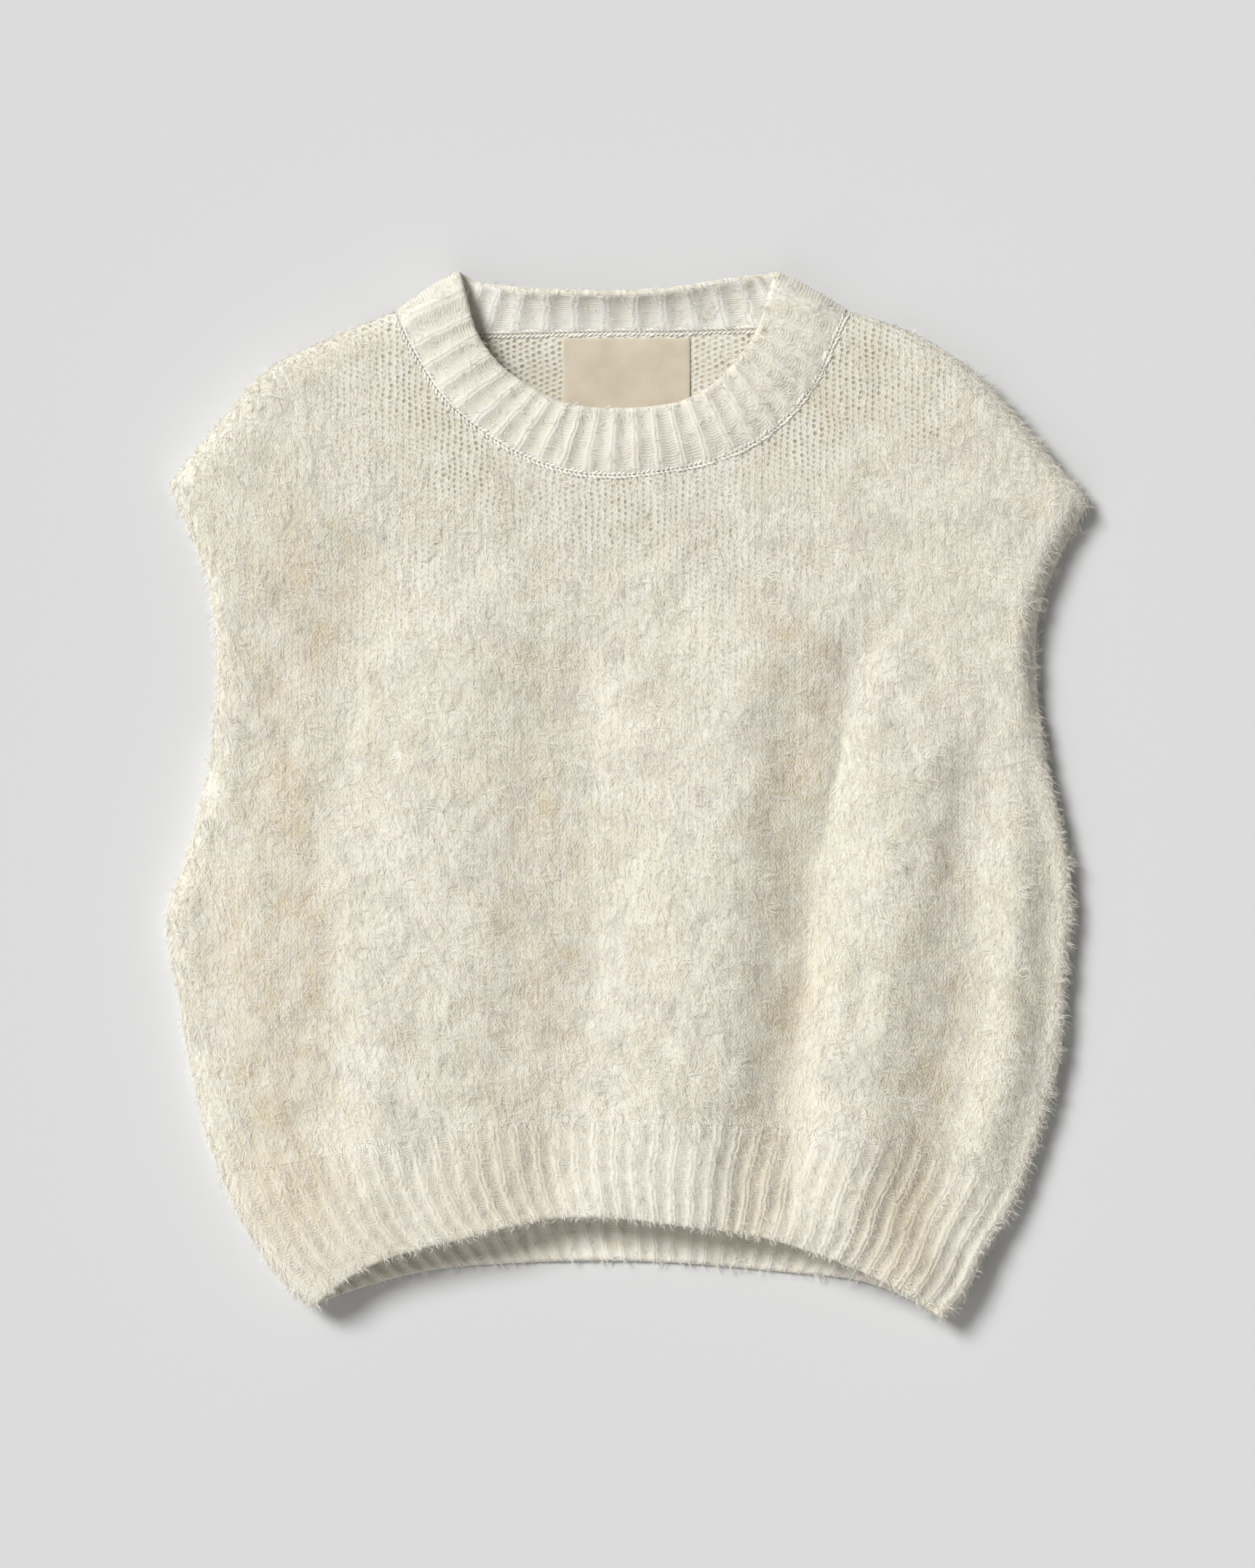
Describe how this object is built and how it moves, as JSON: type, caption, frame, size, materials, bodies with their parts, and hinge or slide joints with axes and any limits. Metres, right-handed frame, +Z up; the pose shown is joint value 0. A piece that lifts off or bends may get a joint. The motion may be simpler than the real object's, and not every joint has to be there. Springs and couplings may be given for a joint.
{
  "type": "cropped sleeveless pullover",
  "caption": "Cropped sleeveless pullover in fluffy brushed ivory knit with a ribbed round neckband and ribbed hem, laid flat on its back.",
  "frame": {"origin": "On the table under the middle of the garment, at the bottom centre of its bounding box.", "axes": "+X runs across the garment towards its left armhole as worn, +Y along it from hem to neck, and +Z up from the table, from its back to its front."},
  "size_m": [0.4862, 0.5466, 0.0356],
  "materials": {
    "knit": "brushed fluffy ivory plain knit, matt with soft stray hairs",
    "rib_knit": "ivory ribbed knit, matt, lightly brushed",
    "label_satin": "beige woven satin, soft sheen"
  },
  "bodies": {
    "root": {"front_panel": "knit", "back_panel": "knit", "neckband": "rib_knit", "hem_rib_front": "rib_knit", "hem_rib_back": "rib_knit", "neck_label": "label_satin"}
  },
  "joints": []
}
